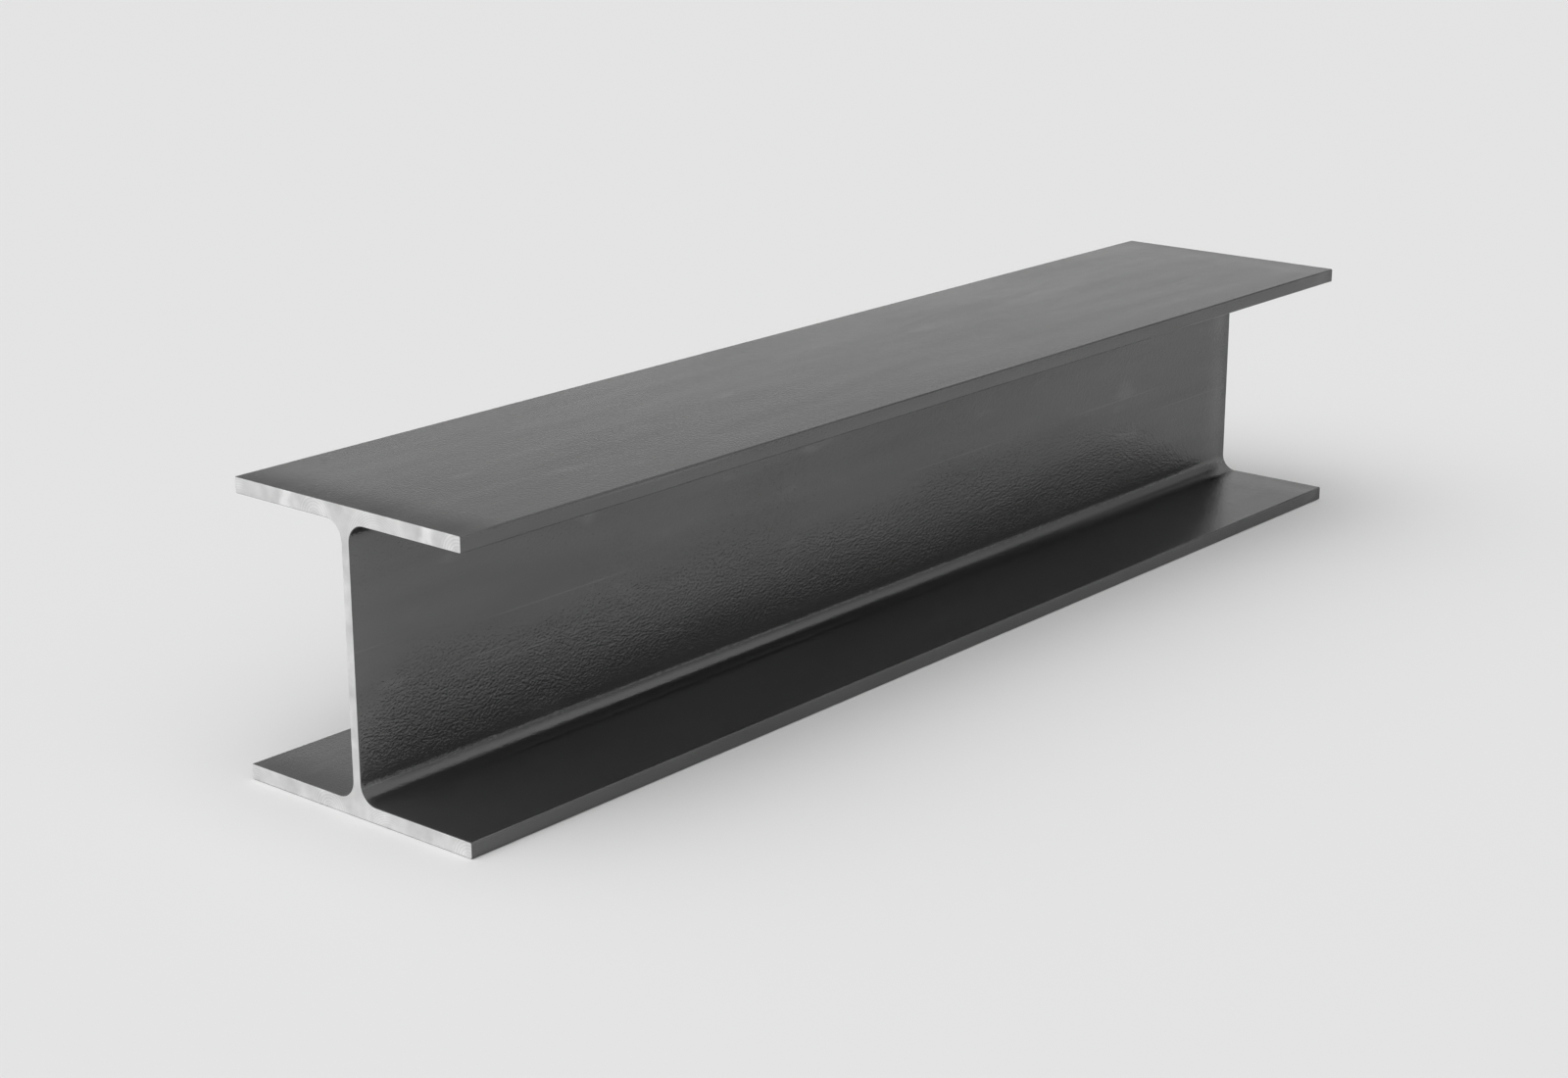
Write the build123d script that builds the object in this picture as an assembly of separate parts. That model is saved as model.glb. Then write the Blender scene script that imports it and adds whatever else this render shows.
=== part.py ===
"""A short length of hot-rolled wide-flange steel beam, sawn square at both ends.

The beam is one solid piece of steel. Its section is a wide letter I: two level flanges of even
thickness, joined by one thin upright web. Concave root fillets blend the web into both flanges, and
the toes of the flanges are slightly rounded by the rolls. The section follows the 8 in x 8 in x
31 lb/ft size (metric 200 x 46.1), whose depth and flange width are equal.

Frame: millimetres, +Z up. X runs along the beam, Y across the flanges. The origin is the middle of
the underside of the bottom flange, so the beam lies on the plane Z = 0.
"""

import os

from build123d import *

# Rolled section
section_depth = 203.2
flange_width = 203.2
flange_thickness = 11.0
web_thickness = 7.2
root_fillet_radius = 13.0
toe_radius = 1.2

# Cut length, and the burr taken off the sawn edges with a file
beam_length = 1016.0
sawn_edge_chamfer = 0.4

# Two positions closer than this are the same line of the section
same_line = 1e-3


def corners_at(outline: Sketch, distance: float) -> ShapeList[Vertex]:
    """The section's corners that lie this far to either side of its centre line.

    Args:
        outline: the section, drawn about its own centre line.
        distance: how far the wanted corners stand from the centre line.

    Returns:
        The corners on both sides.
    """
    return outline.vertices().filter_by(lambda corner: abs(abs(corner.X) - distance) < same_line)


def rolled_section() -> Sketch:
    """The beam's cross-section: web, two flanges, root fillets and rounded toes.

    Returns:
        One closed outline, standing on the line Y = 0 and symmetric about X = 0.
    """
    flange = Rectangle(flange_width, flange_thickness, align=(Align.CENTER, Align.MIN))
    web = Rectangle(web_thickness, section_depth, align=(Align.CENTER, Align.MIN))
    top_flange = Pos(0, section_depth - flange_thickness) * flange

    outline = web + flange + top_flange
    outline = fillet(corners_at(outline, web_thickness / 2), root_fillet_radius)
    return fillet(corners_at(outline, flange_width / 2), toe_radius)


def sawn_beam() -> Part:
    """The section run out to the beam's length, with the edges of both sawn ends eased.

    Returns:
        The finished beam, centred on X = 0.
    """
    blank = extrude(Plane.YZ * rolled_section(), beam_length / 2, both=True)
    sawn_ends = blank.faces().filter_by(Axis.X)
    return chamfer(sawn_ends.edges(), sawn_edge_chamfer)


os.makedirs("parts", exist_ok=True)
export_step(sawn_beam(), "parts/steel_i_beam.step")
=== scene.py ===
"""A short length of hot-rolled wide-flange steel beam, dressed for its picture.

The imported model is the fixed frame. The beam is one rolled piece, so one closed mesh stands for its
only solid: the same section run out to the same length, with the shallow unevenness that the rolls
leave in every face and the ripple that the saw leaves in both ends. Two finishes cover it, dark mill
scale where the rolls passed and bright bare steel where the saw did.

Lengths are metres. +Z is up and X runs along the beam.
"""

import logging
import math
from abc import ABC, abstractmethod
from dataclasses import dataclass
from enum import Enum, IntEnum

import bmesh
import bpy
from bmesh.types import BMEdge, BMesh, BMFace, BMVert
from bpy.types import Material, Node, NodeSocket, NodeTree, Object
from mathutils import Matrix, Quaternion, Vector, noise


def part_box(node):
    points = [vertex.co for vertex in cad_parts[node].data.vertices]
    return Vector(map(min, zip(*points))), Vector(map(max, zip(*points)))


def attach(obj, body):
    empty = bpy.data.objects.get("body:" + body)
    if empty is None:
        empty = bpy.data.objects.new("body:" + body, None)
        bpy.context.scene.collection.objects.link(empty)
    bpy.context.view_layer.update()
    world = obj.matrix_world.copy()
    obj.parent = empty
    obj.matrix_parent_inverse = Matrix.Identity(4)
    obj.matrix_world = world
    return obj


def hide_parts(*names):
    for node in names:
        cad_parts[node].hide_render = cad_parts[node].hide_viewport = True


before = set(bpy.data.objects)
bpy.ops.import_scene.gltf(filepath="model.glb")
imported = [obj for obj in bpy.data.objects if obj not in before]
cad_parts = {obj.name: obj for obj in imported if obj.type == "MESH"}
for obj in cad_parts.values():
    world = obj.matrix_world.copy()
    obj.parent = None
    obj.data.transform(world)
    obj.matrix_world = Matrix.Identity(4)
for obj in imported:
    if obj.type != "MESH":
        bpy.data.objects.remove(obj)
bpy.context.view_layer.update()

LOG = logging.getLogger("steel_beam")
BEAM_NODE = "steel_i_beam"
BEAM_BODY = "root"

# Points nearer than this are one point
SAME_POINT = 1e-6

# Soft noise runs from 0 to 1 about this
NOISE_MIDDLE = 0.5

# A face whose normal keeps this share along X looks out of a sawn end
FACING_END = 0.9


class Finish(IntEnum):
    """The finish that a face wears, by its place among the beam's materials."""

    MILL_SCALE = 0
    SAWN_STEEL = 1


class Kind(Enum):
    """The kinds of socket that the effects take and give."""

    VALUE = "NodeSocketFloat"
    PLACE = "NodeSocketVector"


class Wiring:
    """Adds nodes to one node tree and joins their sockets."""

    def __init__(self, tree: NodeTree) -> None:
        """Keeps the tree that the nodes go into."""
        self.tree = tree

    def add(self, kind: str, **settings: object) -> Node:
        """Adds a node.

        Args:
            kind: Blender's name for the kind of node.
            **settings: the node's own properties.

        Returns:
            The new node.
        """
        node = self.tree.nodes.new(kind)
        for name, value in settings.items():
            setattr(node, name, value)
        return node

    def feed(self, socket: NodeSocket, value: object) -> None:
        """Joins a socket to another, or gives it a plain value.

        Args:
            socket: the input to fill.
            value: an output to join it to, or the value to hold.
        """
        if isinstance(value, NodeSocket):
            self.tree.links.new(value, socket)
        else:
            socket.default_value = value

    def math(self, operation: str, *values: object, clamp: bool = False) -> NodeSocket:
        """Does a sum on numbers.

        Args:
            operation: Blender's name for the sum.
            *values: outputs or plain numbers.
            clamp: whether the answer stays between 0 and 1.

        Returns:
            The answer.
        """
        node = self.add("ShaderNodeMath", operation=operation, use_clamp=clamp)
        for socket, value in zip(node.inputs, values):
            self.feed(socket, value)
        return node.outputs[0]

    def blend(self, factor: NodeSocket, first: object, second: object) -> NodeSocket:
        """Goes from one number to another.

        Args:
            factor: how far it has gone, from 0 to 1.
            first: the number at 0.
            second: the number at 1.

        Returns:
            The number between.
        """
        node = self.add("ShaderNodeMix", data_type="FLOAT")
        for name, value in (("Factor", factor), ("A", first), ("B", second)):
            self.feed(node.inputs[name], value)
        return node.outputs["Result"]

    def dot(self, place: NodeSocket, direction: tuple[float, float, float]) -> NodeSocket:
        """Measures how far a place lies along a direction.

        Args:
            place: the place to measure.
            direction: the direction, one unit long.

        Returns:
            The distance from the origin.
        """
        node = self.add("ShaderNodeVectorMath", operation="DOT_PRODUCT")
        self.feed(node.inputs[0], place)
        self.feed(node.inputs[1], direction)
        return node.outputs["Value"]

    def scaled(self, place: NodeSocket, scale: object) -> NodeSocket:
        """Stretches a place.

        Args:
            place: the place to stretch.
            scale: a factor for each axis.

        Returns:
            The stretched place.
        """
        node = self.add("ShaderNodeVectorMath", operation="MULTIPLY")
        self.feed(node.inputs[0], place)
        self.feed(node.inputs[1], scale)
        return node.outputs["Vector"]

    def axes(self, place: NodeSocket) -> tuple[NodeSocket, NodeSocket, NodeSocket]:
        """Splits a place up.

        Args:
            place: the place to split.

        Returns:
            Its X, Y and Z.
        """
        node = self.add("ShaderNodeSeparateXYZ")
        self.feed(node.inputs[0], place)
        return node.outputs["X"], node.outputs["Y"], node.outputs["Z"]

    def joined(self, x: object, y: object, z: object) -> NodeSocket:
        """Puts a place together.

        Args:
            x: how far it is along X.
            y: how far it is along Y.
            z: how far it is along Z.

        Returns:
            The place.
        """
        node = self.add("ShaderNodeCombineXYZ")
        for socket, value in zip(node.inputs, (x, y, z)):
            self.feed(socket, value)
        return node.outputs["Vector"]

    def grey(self, tone: NodeSocket) -> NodeSocket:
        """Makes the neutral colour of one tone."""
        return self.joined(tone, tone, tone)

    def bumped(self, relief: NodeSocket) -> NodeSocket:
        """Turns a relief into the way that the surface faces.

        Args:
            relief: the height of each point, in metres.

        Returns:
            The normal.
        """
        node = self.add("ShaderNodeBump")
        self.feed(node.inputs["Distance"], 1.0)
        self.feed(node.inputs["Height"], relief)
        return node.outputs["Normal"]

    def remap(self, value: object, start: float, end: float, low: float, high: float) -> NodeSocket:
        """Turns one range of numbers into another, easing in and out of both ends.

        Args:
            value: the number to read.
            start: where it gives the low answer.
            end: where it gives the high answer.
            low: the answer at and before the start.
            high: the answer at and after the end.

        Returns:
            The answer.
        """
        node = self.add("ShaderNodeMapRange", interpolation_type="SMOOTHSTEP")
        for name, number in (("Value", value), ("From Min", start), ("From Max", end)):
            self.feed(node.inputs[name], number)
        self.feed(node.inputs["To Min"], low)
        self.feed(node.inputs["To Max"], high)
        return node.outputs["Result"]

    def apart(self, value: NodeSocket, start: object, pitch: object) -> NodeSocket:
        """Measures how far a number is from the nearest of an even row of marks.

        Args:
            value: the number to read.
            start: where one of the marks lies.
            pitch: how far apart the marks are.

        Returns:
            The distance, below zero on the near side of the mark.
        """
        turns = self.math("DIVIDE", self.math("SUBTRACT", value, start), pitch)
        return self.math("MULTIPLY", self.math("SUBTRACT", turns, self.math("ROUND", turns)), pitch)

    def noise(self, place: NodeSocket, detail: float, scale: float = 1.0) -> NodeSocket:
        """Reads soft random noise.

        Args:
            place: where to read it.
            detail: how many finer layers are laid over the broadest one.
            scale: how many waves there are in one unit of place.

        Returns:
            A number from 0 to 1.
        """
        node = self.add("ShaderNodeTexNoise", noise_dimensions="3D")
        for name, value in (("Vector", place), ("Detail", detail), ("Scale", scale)):
            self.feed(node.inputs[name], value)
        return node.outputs["Fac"]

    def chance(self, place: NodeSocket) -> NodeSocket:
        """Draws one random number for each place.

        Args:
            place: what the draw is made for. Another place gives another number.

        Returns:
            The number, from 0 to 1.
        """
        node = self.add("ShaderNodeTexWhiteNoise", noise_dimensions="3D")
        self.feed(node.inputs["Vector"], place)
        return node.outputs["Value"]


def plain_material(name: str) -> tuple[Material, Node]:
    """Makes a material that is still plain.

    Args:
        name: the material's name.

    Returns:
        The material and its shader.
    """
    made = bpy.data.materials.new(name)
    made.use_nodes = True
    return made, made.node_tree.nodes["Principled BSDF"]


class Effect(ABC):
    """One effect that the finishes are made from, as a node group with named sockets."""

    name: str
    takes: tuple[tuple[str, Kind], ...]
    gives: tuple[tuple[str, Kind], ...]

    def tree(self) -> NodeTree:
        """Finds the effect's node group, and builds it the first time.

        Returns:
            The one group that every finish places.
        """
        made = bpy.data.node_groups.get(self.name)
        if made is not None:
            return made
        made = bpy.data.node_groups.new(self.name, "ShaderNodeTree")
        for direction, sockets in (("INPUT", self.takes), ("OUTPUT", self.gives)):
            for name, kind in sockets:
                made.interface.new_socket(name=name, in_out=direction, socket_type=kind.value)
        wiring = Wiring(made)
        start = wiring.add("NodeGroupInput")
        end = wiring.add("NodeGroupOutput")
        for name, socket in self.wire(wiring, start.outputs).items():
            wiring.feed(end.inputs[name], socket)
        return made

    def place(self, wiring: Wiring, **values: object) -> Node:
        """Places the effect in a finish.

        Args:
            wiring: the finish's own nodes.
            **values: what goes into each named socket.

        Returns:
            The group's node, with its outputs by name.
        """
        node = wiring.add("ShaderNodeGroup", node_tree=self.tree())
        for name, value in values.items():
            wiring.feed(node.inputs[name], value)
        return node

    @abstractmethod
    def wire(self, wiring: Wiring, takes: object) -> dict[str, NodeSocket]:
        """Builds what is inside the group.

        Args:
            wiring: the group's own nodes.
            takes: the group's inputs, by name.

        Returns:
            What goes to each output, by name.
        """


class SoftPatches(Effect):
    """Broad light and dark patches, drawn out along the way the steel was worked."""

    name = "soft_patches"
    takes = (("Place", Kind.PLACE), ("Stretch", Kind.PLACE), ("Swing", Kind.VALUE))
    gives = (("Factor", Kind.VALUE),)
    detail: float = 4.0

    def wire(self, wiring: Wiring, takes: object) -> dict[str, NodeSocket]:
        """Gives a factor of about 1 that rises and falls by the swing.

        Args:
            wiring: the group's own nodes.
            takes: the place, the patches per metre along each axis, and the swing.

        Returns:
            The factor.
        """
        stretched = wiring.scaled(takes["Place"], takes["Stretch"])
        broad = wiring.noise(stretched, self.detail)
        centred = wiring.math("SUBTRACT", broad, NOISE_MIDDLE)
        swung = wiring.math("MULTIPLY", centred, takes["Swing"])
        return {"Factor": wiring.math("ADD", swung, 1.0)}


class FineGrain(Effect):
    """A fine pebbled grain, longer one way than the other, and deeper in some places than in others."""

    name = "fine_grain"
    takes = (
        ("Place", Kind.PLACE),
        ("Stretch", Kind.PLACE),
        ("Height", Kind.VALUE),
        ("Clouds", Kind.PLACE),
    )
    gives = (("Relief", Kind.VALUE),)
    grain_detail: float = 2.0
    cloud_detail: float = 1.0
    cloud_range: tuple[float, float] = (0.3, 0.7)
    depth_range: tuple[float, float] = (0.7, 1.3)

    def wire(self, wiring: Wiring, takes: object) -> dict[str, NodeSocket]:
        """Gives the grain's relief.

        Args:
            wiring: the group's own nodes.
            takes: the place, the grains per metre along each axis, their height, and how many deep
                places there are per metre.

        Returns:
            The relief in metres.
        """
        stretched = wiring.scaled(takes["Place"], takes["Stretch"])
        grains = wiring.noise(stretched, self.grain_detail)
        spread = wiring.scaled(takes["Place"], takes["Clouds"])
        clouds = wiring.noise(spread, self.cloud_detail)
        share = wiring.remap(clouds, *self.cloud_range, *self.depth_range)
        depth = wiring.math("MULTIPLY", share, takes["Height"])
        return {"Relief": wiring.math("MULTIPLY", grains, depth)}


class LightSpots(Effect):
    """A few soft light spots, where the skin of the steel is rubbed."""

    name = "light_spots"
    takes = (("Place", Kind.PLACE), ("Stretch", Kind.PLACE), ("Rarity", Kind.VALUE))
    gives = (("Mask", Kind.VALUE),)
    detail: float = 2.0
    edge: float = 0.15

    def wire(self, wiring: Wiring, takes: object) -> dict[str, NodeSocket]:
        """Gives a mask of the spots.

        Args:
            wiring: the group's own nodes.
            takes: the place, the spots per metre along each axis, and how rare they are, from 0 to 1.

        Returns:
            The mask, 1 at the middle of a spot.
        """
        stretched = wiring.scaled(takes["Place"], takes["Stretch"])
        hills = wiring.noise(stretched, self.detail)
        peak = wiring.math("ADD", takes["Rarity"], self.edge)
        return {"Mask": wiring.remap(hills, takes["Rarity"], peak, 0.0, 1.0)}


class LongScratches(Effect):
    """Thin light scratches along the beam, each alone in its own lane of a face."""

    name = "long_scratches"
    takes = (
        ("Place", Kind.PLACE),
        ("Run", Kind.VALUE),
        ("Lane", Kind.VALUE),
        ("Width", Kind.VALUE),
        ("Share", Kind.VALUE),
    )
    gives = (("Mask", Kind.VALUE),)
    lane_margin: float = 0.1
    full_reach: float = 0.15
    faded_reach: float = 0.4
    height_draw: float = 1.0
    share_draw: float = 2.0

    def wire(self, wiring: Wiring, takes: object) -> dict[str, NodeSocket]:
        """Gives a mask of the scratches.

        Args:
            wiring: the group's own nodes.
            takes: the place, the length of a run, the height of a lane, the width of a scratch, and
                the share of the runs that have one.

        Returns:
            The mask, 1 along the middle of a scratch.
        """
        along, across, up = wiring.axes(takes["Place"])
        lanes = wiring.math("DIVIDE", wiring.math("ADD", across, up), takes["Lane"])
        lane = wiring.math("FLOOR", lanes)
        start = wiring.chance(wiring.joined(lane, 0.0, 0.0))
        runs = wiring.math("ADD", wiring.math("DIVIDE", along, takes["Run"]), start)
        run = wiring.math("FLOOR", runs)

        drawn = wiring.chance(wiring.joined(lane, run, self.height_draw))
        height = wiring.math("MULTIPLY_ADD", drawn, 1.0 - 2.0 * self.lane_margin, self.lane_margin)
        off = wiring.math("ABSOLUTE", wiring.math("SUBTRACT", wiring.math("FRACT", lanes), height))
        off = wiring.math("MULTIPLY", off, takes["Lane"])
        line = wiring.remap(off, 0.0, takes["Width"], 1.0, 0.0)
        centred = wiring.math("ABSOLUTE", wiring.math("SUBTRACT", wiring.math("FRACT", runs), 0.5))
        reach = wiring.remap(centred, self.full_reach, self.faded_reach, 1.0, 0.0)
        drawn = wiring.chance(wiring.joined(lane, run, self.share_draw))
        there = wiring.math("LESS_THAN", drawn, takes["Share"])
        return {"Mask": wiring.math("MULTIPLY", wiring.math("MULTIPLY", line, reach), there)}


class SwirlMarks(Effect):
    """Fans of fine arcs that the tool leaves on a sawn face, each fading out at its edge."""

    name = "swirl_marks"
    takes = (
        ("Place", Kind.PLACE),
        ("Middle", Kind.PLACE),
        ("Pitch", Kind.PLACE),
        ("Ring", Kind.VALUE),
        ("Inner", Kind.VALUE),
        ("Outer", Kind.VALUE),
    )
    gives = (("Mask", Kind.VALUE),)
    full_reach: float = 0.5

    def wire(self, wiring: Wiring, takes: object) -> dict[str, NodeSocket]:
        """Gives a mask of the arcs.

        Args:
            wiring: the group's own nodes.
            takes: the place, where the middle of one fan lies, how far apart the fans are, how wide
                one ring is, and the radii that a fan's rings keep between.

        Returns:
            The mask, 1 along the crest of an arc.
        """
        _, across, up = wiring.axes(takes["Place"])
        _, start_across, start_up = wiring.axes(takes["Middle"])
        _, pitch_across, pitch_up = wiring.axes(takes["Pitch"])
        across = wiring.apart(across, start_across, pitch_across)
        up = wiring.apart(up, start_up, pitch_up)
        square = wiring.math("MULTIPLY_ADD", across, across, wiring.math("MULTIPLY", up, up))
        away = wiring.math("SQRT", square)
        rings = wiring.math("ABSOLUTE", wiring.apart(away, 0.0, takes["Ring"]))
        crest = wiring.remap(wiring.math("DIVIDE", rings, takes["Ring"]), 0.0, 0.5, 1.0, 0.0)
        half = wiring.math("MULTIPLY", wiring.math("SUBTRACT", takes["Outer"], takes["Inner"]), 0.5)
        middle = wiring.math("ADD", takes["Inner"], half)
        off = wiring.math("ABSOLUTE", wiring.math("SUBTRACT", away, middle))
        kept = wiring.remap(wiring.math("DIVIDE", off, half), self.full_reach, 1.0, 1.0, 0.0)
        return {"Mask": wiring.math("MULTIPLY", crest, kept)}


@dataclass(frozen=True)
class MillScale:
    """The dark oxide skin that the beam leaves the rolls with: satin, streaked and finely grained.

    Streaks, grains, clouds and spots are counted per metre along X, Y and Z. A gain or a swing is a
    share of the tone. The corners of the rolls press the root fillets smoother than the rest, by the
    share that the polish says.

    The faces reflect as if they were crowned, by a slope for each metre from the middle, and as if
    they fell off within the reach of the ends, up to the end's own slope. Only the shading does
    this, and it moves no point. It is far more than a real beam's crown, and is fitted so that the
    tones run along the faces as in the picture.
    """

    half_length: float
    half_depth: float
    flange: float
    root: float
    name: str = "mill_scale_steel"
    tone: float = 0.136
    metallic: float = 0.78
    edge_tint: float = 0.72
    roughness: float = 0.19
    streaks: tuple[float, float, float] = (7.0, 50.0, 50.0)
    streak_swing: float = 0.35
    grains: tuple[float, float, float] = (560.0, 700.0, 700.0)
    grain_height: float = 0.00034
    clouds: tuple[float, float, float] = (6.0, 14.0, 14.0)
    spots: tuple[float, float, float] = (16.0, 50.0, 50.0)
    spot_rarity: float = 0.62
    spot_gain: float = 0.20
    scratch_run: float = 0.22
    scratch_lane: float = 0.024
    scratch_width: float = 0.0007
    scratch_share: float = 0.35
    scratch_gain: float = 0.28
    crown_along: float = 0.048
    crown_across: float = 0.60
    end_reach: float = 0.046
    end_slope: float = 0.34
    root_edge: float = 0.003
    root_polish: float = 0.40

    def fall(self, wiring: Wiring, place: NodeSocket) -> NodeSocket:
        """Works out how far the shading makes the faces seem to fall from flat.

        Args:
            wiring: the material's own nodes.
            place: a point of the beam.

        Returns:
            The seeming fall in metres, as a height below zero.
        """
        along, across, _ = wiring.axes(place)
        crown = wiring.math("MULTIPLY", wiring.math("MULTIPLY", along, along), -self.crown_along / 2)
        square = wiring.math("MULTIPLY", across, across)
        crown = wiring.math("MULTIPLY_ADD", square, -self.crown_across / 2, crown)
        past = wiring.math("SUBTRACT", wiring.math("ABSOLUTE", along), self.half_length - self.end_reach)
        past = wiring.math("MAXIMUM", past, 0.0)
        cube = wiring.math("POWER", past, 3.0)
        return wiring.math("MULTIPLY_ADD", cube, -self.end_slope / self.end_reach**2 / 3, crown)

    def roughened(self, wiring: Wiring, place: NodeSocket) -> NodeSocket:
        """Works out how much of the plain faces' roughness a place has, less in the root fillets.

        Args:
            wiring: the material's own nodes.
            place: a point of the beam.

        Returns:
            The share of the roughness, 1 away from the fillets.
        """
        _, across, up = wiring.axes(place)
        away = wiring.math("ABSOLUTE", across)
        beside = wiring.remap(away, self.root - self.root_edge, self.root + self.root_edge, 1.0, 0.0)
        out = wiring.math("ABSOLUTE", wiring.math("SUBTRACT", up, self.half_depth))
        corner = self.half_depth - self.flange
        start = corner - self.root
        below = wiring.remap(out, start - self.root_edge, start + self.root_edge * 2, 0.0, 1.0)
        inside = wiring.math("LESS_THAN", out, corner + self.root_edge)
        pressed = wiring.math("MULTIPLY", wiring.math("MULTIPLY", beside, below), inside)
        return wiring.math("MULTIPLY_ADD", pressed, -self.root_polish, 1.0)

    def material(self) -> Material:
        """Builds the finish.

        Returns:
            The material.
        """
        made, skin = plain_material(self.name)
        wiring = Wiring(made.node_tree)
        place = wiring.add("ShaderNodeTexCoord").outputs["Object"]
        rough = self.roughened(wiring, place)

        streaks = SoftPatches().place(wiring, Place=place, Stretch=self.streaks, Swing=self.streak_swing)
        grain_height = wiring.math("MULTIPLY", rough, self.grain_height)
        grain = FineGrain().place(
            wiring, Place=place, Stretch=self.grains, Height=grain_height, Clouds=self.clouds
        )
        spots = LightSpots().place(wiring, Place=place, Stretch=self.spots, Rarity=self.spot_rarity)
        scratches = LongScratches().place(
            wiring,
            Place=place,
            Run=self.scratch_run,
            Lane=self.scratch_lane,
            Width=self.scratch_width,
            Share=self.scratch_share,
        )
        gain = wiring.math("MULTIPLY_ADD", spots.outputs["Mask"], self.spot_gain, streaks.outputs["Factor"])
        gain = wiring.math("MULTIPLY_ADD", scratches.outputs["Mask"], self.scratch_gain, gain)
        tone = wiring.math("MULTIPLY", gain, self.tone)
        wiring.feed(skin.inputs["Base Color"], wiring.grey(tone))
        rubbed = wiring.math("SUBTRACT", 2.0, streaks.outputs["Factor"])
        rubbed = wiring.math("MULTIPLY", rubbed, rough)
        wiring.feed(skin.inputs["Roughness"], wiring.math("MULTIPLY", rubbed, self.roughness))
        relief = wiring.math("ADD", grain.outputs["Relief"], self.fall(wiring, place))
        wiring.feed(skin.inputs["Normal"], wiring.bumped(relief))
        skin.inputs["Metallic"].default_value = self.metallic
        skin.inputs["Specular Tint"].default_value = (self.edge_tint,) * 3 + (1.0,)
        return made


@dataclass(frozen=True)
class Swirls:
    """One row of fans of arcs on the sawn faces: a fan's middle, its rings and how light they are."""

    middle: tuple[float, float, float]
    ring: float
    inner: float
    outer: float
    gain: float


@dataclass(frozen=True)
class SawnSteel:
    """Bare steel fresh from the saw: bright and mottled, with fans of fine arcs and light bands.

    The fans and the bands repeat by the marks' pitch across and up. Neither is placed along X, so
    both ends of the beam have the same ones.
    """

    name: str = "sawn_bare_steel"
    tone: float = 0.785
    roughness: float = 0.42
    patches: tuple[float, float, float] = (20.0, 70.0, 70.0)
    patch_swing: float = 0.62
    grains: tuple[float, float, float] = (500.0, 700.0, 700.0)
    grain_height: float = 0.00010
    clouds: tuple[float, float, float] = (10.0, 10.0, 10.0)
    marks_pitch: tuple[float, float, float] = (9.0, 0.126, 0.192)
    swirls: tuple[Swirls, ...] = (
        Swirls(middle=(0.0, 0.0266, -0.001), ring=0.0021, inner=0.003, outer=0.016, gain=0.14),
        Swirls(middle=(0.0, 0.0966, -0.012), ring=0.0016, inner=0.012, outer=0.030, gain=0.12),
    )
    band_start: float = 0.0556
    band_slant: float = -0.25
    band_wander: float = 0.010
    band_width: float = 0.008
    band_gain: float = 0.24
    band_foot: float = 0.04
    band_head: float = 0.18
    band_least: float = 0.15
    wander_scale: float = 120.0
    wander_detail: float = 2.0

    def bands(self, wiring: Wiring, place: NodeSocket) -> NodeSocket:
        """Works out the light bands that cross the top flange aslant and fade out down the web.

        Args:
            wiring: the material's own nodes.
            place: a point of the beam.

        Returns:
            The bands from 0 to 1.
        """
        _, across, up = wiring.axes(place)
        soft = wiring.noise(place, self.wander_detail, self.wander_scale)
        wander = wiring.math("SUBTRACT", soft, NOISE_MIDDLE)
        crossed = wiring.math("MULTIPLY_ADD", wander, self.band_wander, across)
        crossed = wiring.math("MULTIPLY_ADD", up, -self.band_slant, crossed)
        start = self.band_start - self.band_slant * self.marks_pitch[2]
        off = wiring.math("ABSOLUTE", wiring.apart(crossed, start, self.marks_pitch[1]))
        bands = wiring.remap(off, 0.0, self.band_width, 1.0, 0.0)
        kept = wiring.remap(up, self.band_foot, self.band_head, self.band_least, 1.0)
        return wiring.math("MULTIPLY", bands, kept)

    def material(self) -> Material:
        """Builds the finish.

        Returns:
            The material.
        """
        made, skin = plain_material(self.name)
        wiring = Wiring(made.node_tree)
        place = wiring.add("ShaderNodeTexCoord").outputs["Object"]

        patches = SoftPatches().place(wiring, Place=place, Stretch=self.patches, Swing=self.patch_swing)
        grain = FineGrain().place(
            wiring, Place=place, Stretch=self.grains, Height=self.grain_height, Clouds=self.clouds
        )
        gain = patches.outputs["Factor"]
        for row in self.swirls:
            arcs = SwirlMarks().place(
                wiring,
                Place=place,
                Middle=row.middle,
                Pitch=self.marks_pitch,
                Ring=row.ring,
                Inner=row.inner,
                Outer=row.outer,
            )
            gain = wiring.math("MULTIPLY_ADD", arcs.outputs["Mask"], row.gain, gain)
        gain = wiring.math("MULTIPLY_ADD", self.bands(wiring, place), self.band_gain, gain)
        tone = wiring.math("MULTIPLY", gain, self.tone, clamp=True)
        wiring.feed(skin.inputs["Base Color"], wiring.grey(tone))
        wiring.feed(skin.inputs["Normal"], wiring.bumped(grain.outputs["Relief"]))
        skin.inputs["Metallic"].default_value = 1.0
        skin.inputs["Roughness"].default_value = self.roughness
        return made


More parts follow.
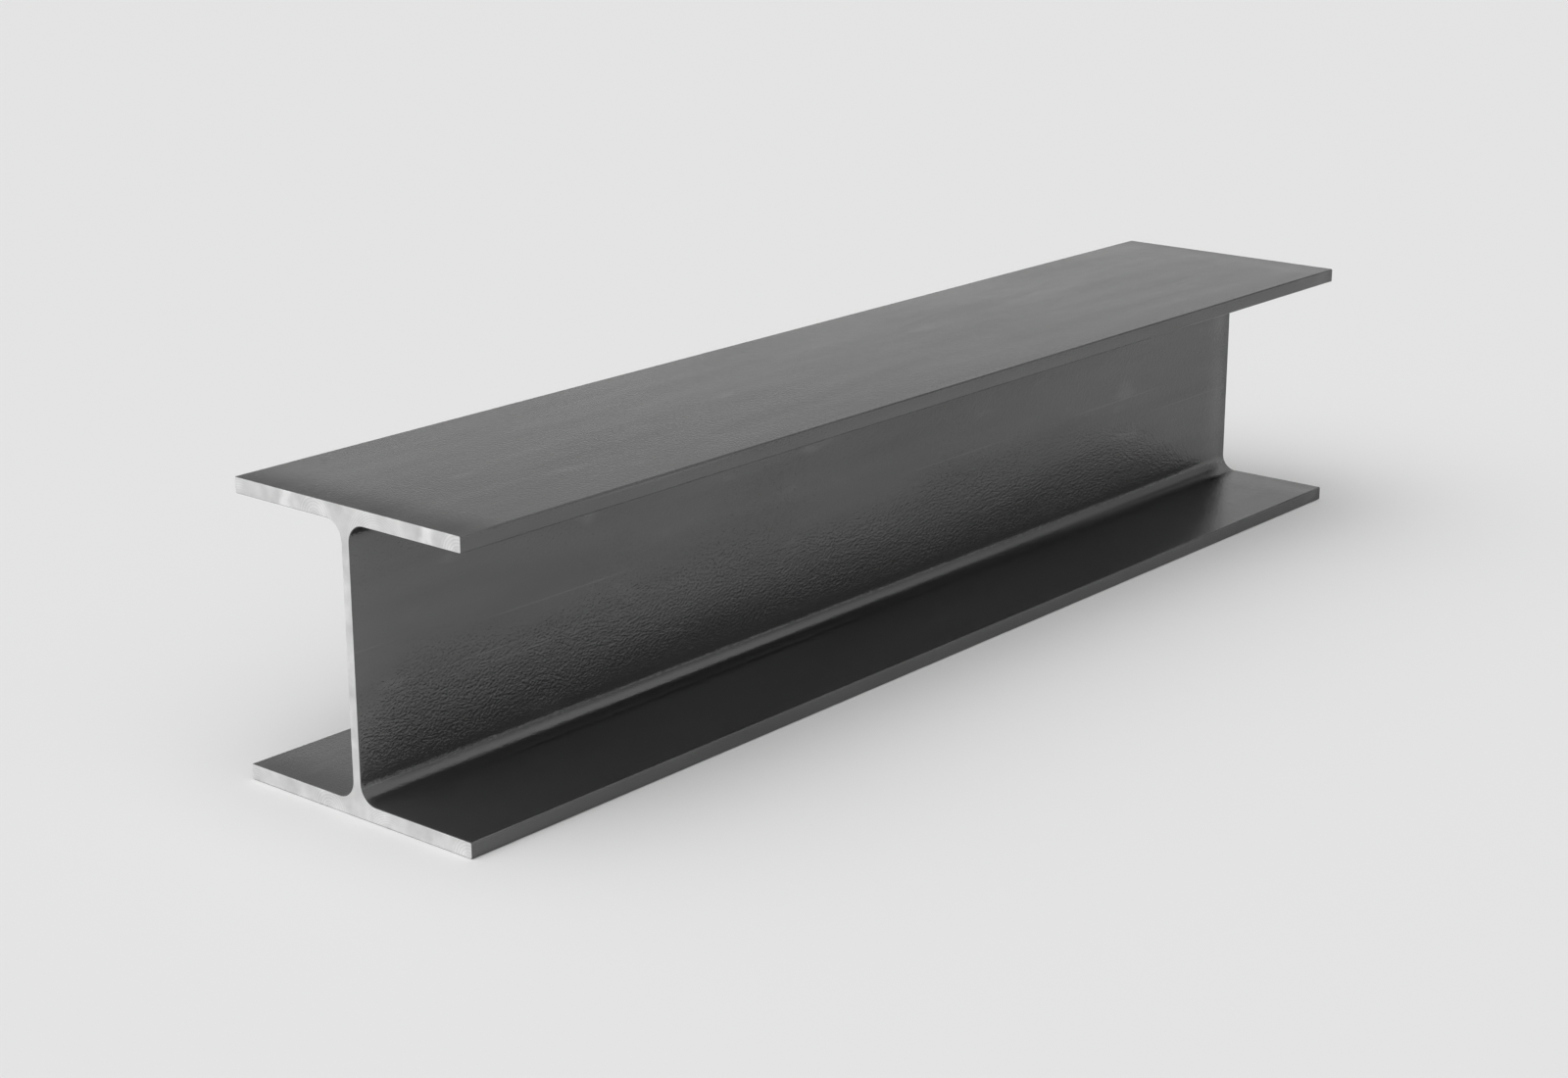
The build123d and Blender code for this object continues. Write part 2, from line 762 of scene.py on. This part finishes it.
@dataclass(frozen=True)
class RolledBeam:
    """The beam: an upright web between two level flanges, sawn square at both ends.

    The outside sizes are the frame's own. The rest are the section's, the fineness of the mesh, and
    how long and how deep the waves of the rolls and the ripple of the saw are.
    """

    length: float
    depth: float
    width: float
    flange: float = 0.0110
    web: float = 0.0072
    root_radius: float = 0.0130
    toe_radius: float = 0.0012
    sawn_ease: float = 0.0004
    root_steps: int = 16
    toe_steps: int = 5
    strip: float = 0.0040
    row: float = 0.0056
    sawn_cell: float = 0.0011
    beside_arc: float = 0.0005
    sharp_turn: float = math.radians(30)
    roll_wave: tuple[float, float, float] = (0.30, 0.03, 0.03)
    roll_depth: float = 0.00012
    saw_wave: tuple[float, float, float] = (0.01, 0.009, 0.004)
    saw_depth: float = 0.00005
    wave_roughness: float = 1.0
    wave_gap: float = 2.0
    wave_octaves: int = 2

    @property
    def root(self) -> float:
        """How far from the web's middle the root fillets reach."""
        return self.web / 2 + self.root_radius

    def section(self) -> BMesh:
        """Draws the H of the section, flat at the near end, from one quarter mirrored twice.

        Returns:
            A mesh of one face with square corners, its web's middle on Y = 0.
        """
        mesh = bmesh.new()
        half = self.depth / 2
        under = half - self.flange
        quarter = (
            (self.web / 2, 0.0),
            (self.web / 2, under),
            (self.width / 2, under),
            (self.width / 2, half),
            (0.0, half),
        )
        near = self.sawn_ease - self.length / 2
        corners = [mesh.verts.new((near, y, z)) for y, z in quarter]
        for first, second in zip(corners, corners[1:]):
            mesh.edges.new((first, second))
        for axis in ("Y", "Z"):
            drawn = mesh.verts[:] + mesh.edges[:]
            bmesh.ops.mirror(mesh, geom=drawn, matrix=Matrix(), merge_dist=SAME_POINT, axis=axis)
        bmesh.ops.contextual_create(mesh, geom=mesh.edges[:])
        bmesh.ops.translate(mesh, verts=mesh.verts, vec=(0, 0, half))
        return mesh

    def run_out(self, mesh: BMesh) -> None:
        """Runs the section out to the beam's length.

        Args:
            mesh: the section, which becomes a closed prism.
        """
        grown = bmesh.ops.extrude_face_region(mesh, geom=mesh.faces[:])["geom"]
        far = [part for part in grown if isinstance(part, BMVert)]
        run = self.length - 2 * self.sawn_ease
        bmesh.ops.translate(mesh, verts=far, vec=(run, 0, 0))
        bmesh.ops.recalc_face_normals(mesh, faces=mesh.faces[:])

    def long_edges(self, mesh: BMesh) -> list[BMEdge]:
        """Finds the edges that run the beam's whole length."""
        return [edge for edge in mesh.edges if edge.calc_length() > self.length / 2]

    def round_corners(self, mesh: BMesh) -> None:
        """Rounds the four roots, where web and flanges meet, and the eight toes.

        Args:
            mesh: the square-cornered prism.
        """
        rounds = (
            (self.web / 2, self.root_radius, self.root_steps),
            (self.width / 2, self.toe_radius, self.toe_steps),
        )
        for from_middle, radius, steps in rounds:
            edges = [
                edge
                for edge in self.long_edges(mesh)
                if abs(abs(edge.verts[0].co.y) - from_middle) < SAME_POINT
            ]
            bmesh.ops.bevel(
                mesh,
                geom=edges,
                offset=radius,
                offset_type="OFFSET",
                segments=steps,
                profile=0.5,
                affect="EDGES",
                material=-1,
            )

    def sawn_faces(self, mesh: BMesh) -> list[BMFace]:
        """Finds the faces that look along the beam, out of either end."""
        return [face for face in mesh.faces if abs(face.normal.x) > FACING_END]

    def ease_ends(self, mesh: BMesh) -> None:
        """Takes the burr off round both sawn ends, as a narrow bevel.

        Args:
            mesh: the rounded prism, still short by the bevel at each end.
        """
        bmesh.ops.inset_region(
            mesh,
            faces=self.sawn_faces(mesh),
            thickness=self.sawn_ease,
            depth=self.sawn_ease,
            use_boundary=True,
            use_even_offset=True,
        )

    def cut(self, mesh: BMesh, faces: list[BMFace], axis: Vector, places: list[float]) -> None:
        """Cuts faces along planes square to one axis, each time only what is still ahead.

        Args:
            mesh: the beam.
            faces: the faces to cut.
            axis: the direction that the planes are square to.
            places: where along that direction each plane lies, lowest first.
        """
        for place in places:
            whole = {part for face in faces for part in (face, *face.edges, *face.verts)}
            halves = bmesh.ops.bisect_plane(
                mesh,
                geom=list(whole),
                dist=SAME_POINT,
                plane_co=axis * place,
                plane_no=axis,
            )["geom"]
            faces = [
                half
                for half in halves
                if isinstance(half, BMFace) and half.calc_center_bounds().dot(axis) > place
            ]

    def steps(self, start: float, end: float, widest: float) -> list[float]:
        """Divides a stretch evenly.

        Args:
            start: where it begins.
            end: where it ends.
            widest: the most that one step may be.

        Returns:
            Both ends and the places between.
        """
        count = math.ceil((end - start) / widest)
        return [start + (end - start) * step / count for step in range(count + 1)]

    def divide(self, mesh: BMesh) -> None:
        """Divides the faces finely enough for their relief.

        Args:
            mesh: the beam with its eased ends.
        """
        half = self.width / 2
        toe = half - self.toe_radius - self.beside_arc
        low = self.flange + self.root_radius + self.beside_arc
        outward = self.steps(self.root + self.beside_arc, toe, self.strip)
        across = [-place for place in reversed(outward)] + [0.0] + outward
        upward = self.steps(low, self.depth - low, self.strip)
        long_faces = [face for face in mesh.faces if abs(face.normal.x) < SAME_POINT]
        self.cut(mesh, long_faces, Vector((0, 1, 0)), across)
        long_faces = [face for face in mesh.faces if abs(face.normal.x) < SAME_POINT]
        self.cut(mesh, long_faces, Vector((0, 0, 1)), upward)
        for axis, start, end in (((0, 1, 0), -half, half), ((0, 0, 1), 0.0, self.depth)):
            self.cut(mesh, self.sawn_faces(mesh), Vector(axis), self.steps(start, end, self.sawn_cell))

        rows = math.ceil(self.length / self.row)
        bmesh.ops.subdivide_edges(mesh, edges=self.long_edges(mesh), cuts=rows - 1, use_grid_fill=True)

    def relief(self, place: Vector, wave: tuple[float, float, float]) -> float:
        """Reads a smooth unevenness.

        Args:
            place: a point of the beam.
            wave: how long its waves are along each axis.

        Returns:
            A number from 0 to 1.
        """
        spread = Vector(part / size for part, size in zip(place, wave))
        swing = noise.fractal(spread, self.wave_roughness, self.wave_gap, self.wave_octaves)
        return min(max(NOISE_MIDDLE + NOISE_MIDDLE * swing, 0.0), 1.0)

    def work_faces(self, mesh: BMesh) -> None:
        """Sinks each face a little by its relief, never past the true size.

        Args:
            mesh: the divided beam.
        """
        mesh.normal_update()
        eased = self.length / 2 - 2 * self.sawn_ease
        moves = []
        for vert in mesh.verts:
            sawn = all(face.material_index == Finish.SAWN_STEEL for face in vert.link_faces)
            if abs(vert.co.x) > eased and not sawn:
                continue
            if sawn:
                depth = self.saw_depth * self.relief(vert.co, self.saw_wave)
            else:
                depth = self.roll_depth * self.relief(vert.co, self.roll_wave)
            moves.append((vert, vert.normal * -depth))
        for vert, move in moves:
            vert.co += move

    def finish_faces(self, mesh: BMesh) -> None:
        """Gives each face its finish, and marks the sharp edges.

        Args:
            mesh: the divided beam.
        """
        mesh.normal_update()
        for face in mesh.faces:
            face.smooth = True
            sawn = abs(face.normal.x) > FACING_END
            face.material_index = Finish.SAWN_STEEL if sawn else Finish.MILL_SCALE
        for edge in mesh.edges:
            edge.smooth = edge.calc_face_angle(0.0) < self.sharp_turn

    def build(self) -> Object:
        """Makes the beam and dresses it.

        Returns:
            The finished object.
        """
        mesh = self.section()
        self.run_out(mesh)
        self.round_corners(mesh)
        self.ease_ends(mesh)
        self.divide(mesh)
        self.finish_faces(mesh)
        self.work_faces(mesh)
        data = bpy.data.meshes.new("rolled_beam")
        mesh.to_mesh(data)
        mesh.free()
        scale = MillScale(self.length / 2, self.depth / 2, self.flange, self.root)
        for finish in (scale, SawnSteel()):
            data.materials.append(finish.material())
        beam = bpy.data.objects.new("rolled_beam", data)
        bpy.context.scene.collection.objects.link(beam)
        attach(beam, BEAM_BODY)
        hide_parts(BEAM_NODE)
        return beam


@dataclass(frozen=True)
class Dip:
    """A soft dim part of the pale backdrop, which only the steel's reflections show.

    The bearing, the height and both radii are in degrees.
    """

    bearing: float
    height: float
    inner: float
    outer: float
    depth: float

    def strength(self, wiring: Wiring, direction: NodeSocket) -> NodeSocket:
        """Finds how much it takes from what a direction shows.

        Args:
            wiring: the world's own nodes.
            direction: the direction looked in.

        Returns:
            0 outside the dip, and its depth at the middle.
        """
        angles = (self.bearing, self.height, self.inner, self.outer)
        bearing, height, inner, outer = (math.radians(angle) for angle in angles)
        level = math.cos(height)
        middle = (level * math.cos(bearing), level * math.sin(bearing), math.sin(height))
        near = wiring.dot(direction, middle)
        return wiring.remap(near, math.cos(outer), math.cos(inner), 0.0, self.depth)


@dataclass(frozen=True)
class Studio:
    """A pale floor and backdrop under a soft light from above that leans towards the near end.

    The lights add up to one on open floor, so each colour shows as it is written. The sky is brightest
    overhead, dims by a power towards the horizon and leans towards the near end.
    """

    backdrop: float = 0.776
    floor_reach: float = 20.0
    sky_zenith: float = 1.70
    sky_power: float = 1.94
    sky_lean: float = 2.0
    lamp_share: float = 0.10
    lamp_spread: float = math.radians(50)
    dips: tuple[Dip, ...] = (
        Dip(bearing=-4, height=35, inner=6, outer=21, depth=0.70),
        Dip(bearing=-50, height=0, inner=2, outer=25, depth=0.50),
        Dip(bearing=-20, height=16, inner=8, outer=19, depth=0.42),
        Dip(bearing=65, height=38, inner=8, outer=24, depth=0.25),
    )

    def floor(self) -> Object:
        """Lays the floor that the beam rests on.

        Returns:
            The floor.
        """
        data = bpy.data.meshes.new("floor")
        mesh = bmesh.new()
        bmesh.ops.create_grid(mesh, x_segments=1, y_segments=1, size=self.floor_reach)
        mesh.to_mesh(data)
        mesh.free()
        paint, skin = plain_material("pale_floor")
        skin.inputs["Base Color"].default_value = (self.backdrop,) * 3 + (1.0,)
        skin.inputs["Roughness"].default_value = 1.0
        skin.inputs["Specular IOR Level"].default_value = 0.0
        data.materials.append(paint)
        laid = bpy.data.objects.new("floor", data)
        bpy.context.scene.collection.objects.link(laid)
        return laid

    def sky(self) -> None:
        """Lights the floor from above, and shows the backdrop to the eye and in the steel."""
        world = bpy.data.worlds.new("soft_light")
        bpy.context.scene.world = world
        world.use_nodes = True
        world.cycles.sampling_method = "NONE"
        wiring = Wiring(world.node_tree)
        direction = wiring.add("ShaderNodeTexCoord").outputs["Generated"]
        along, _, up = wiring.axes(direction)
        lean = wiring.math("MAXIMUM", wiring.math("MULTIPLY_ADD", along, -self.sky_lean, 1.0), 0.0)
        above = wiring.math("POWER", wiring.math("MAXIMUM", up, 0.0), self.sky_power)
        light = wiring.math("MULTIPLY", wiring.math("MULTIPLY", above, lean), self.sky_zenith)

        path = wiring.add("ShaderNodeLightPath").outputs
        mirrored = wiring.math("MULTIPLY", path["Is Glossy Ray"], -self.backdrop)
        shown = self.backdrop
        for dip in self.dips:
            shown = wiring.math("MULTIPLY_ADD", dip.strength(wiring, direction), mirrored, shown)
        seen = wiring.math("MAXIMUM", path["Is Camera Ray"], path["Is Glossy Ray"])
        seen = wiring.math("MAXIMUM", seen, path["Is Transmission Ray"])
        tone = wiring.blend(seen, light, shown)
        background = world.node_tree.nodes["Background"]
        wiring.feed(background.inputs["Color"], wiring.grey(tone))
        background.inputs["Strength"].default_value = 1.0

    def lamp(self) -> Object:
        """Hangs the broad lamp straight overhead that firms the shadow close to the beam.

        Returns:
            The lamp.
        """
        data = bpy.data.lights.new("soft_lamp", "SUN")
        data.energy = self.lamp_share * math.pi
        data.angle = self.lamp_spread
        lamp = bpy.data.objects.new("soft_lamp", data)
        lamp.visible_glossy = False
        bpy.context.scene.collection.objects.link(lamp)
        return lamp

    def build(self) -> None:
        """Sets the floor and the light up."""
        self.floor()
        self.sky()
        self.lamp()


@dataclass(frozen=True)
class Viewpoint:
    """Where the picture is taken from."""

    place: tuple[float, float, float] = (-1.56173, -1.23167, 0.66733)
    aim: tuple[float, float, float] = (-0.09532, 0.0, 0.08520)
    roll: float = math.radians(-0.1012)
    lens: float = 63.499
    sensor: float = 36.0
    far_limit: float = 100.0

    def build(self) -> Object:
        """Sets the camera up as the scene's own.

        Returns:
            The camera.
        """
        data = bpy.data.cameras.new("camera")
        data.lens = self.lens
        data.sensor_width = self.sensor
        data.clip_end = self.far_limit
        camera = bpy.data.objects.new("camera", data)
        camera.location = self.place
        camera.rotation_mode = "QUATERNION"
        straight = (Vector(self.aim) - Vector(self.place)).to_track_quat("-Z", "Y")
        camera.rotation_quaternion = straight @ Quaternion((0, 0, 1), self.roll)
        bpy.context.scene.collection.objects.link(camera)
        bpy.context.scene.camera = camera
        return camera


def main() -> None:
    """Builds the camera, the beam and the studio, and reports each."""
    logging.basicConfig(level=logging.INFO, format="%(name)s: %(message)s")
    bpy.context.scene.view_settings.view_transform = "Standard"
    camera = Viewpoint().build()
    LOG.info("%s looks from %s", camera.name, [round(part, 3) for part in camera.location])
    low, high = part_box(BEAM_NODE)
    size = high - low
    beam = RolledBeam(length=size.x, depth=size.z, width=size.y).build()
    LOG.info("%s has %d faces", beam.name, len(beam.data.polygons))
    Studio().build()
    LOG.info("floor and light are set")


if __name__ == "__main__":
    main()
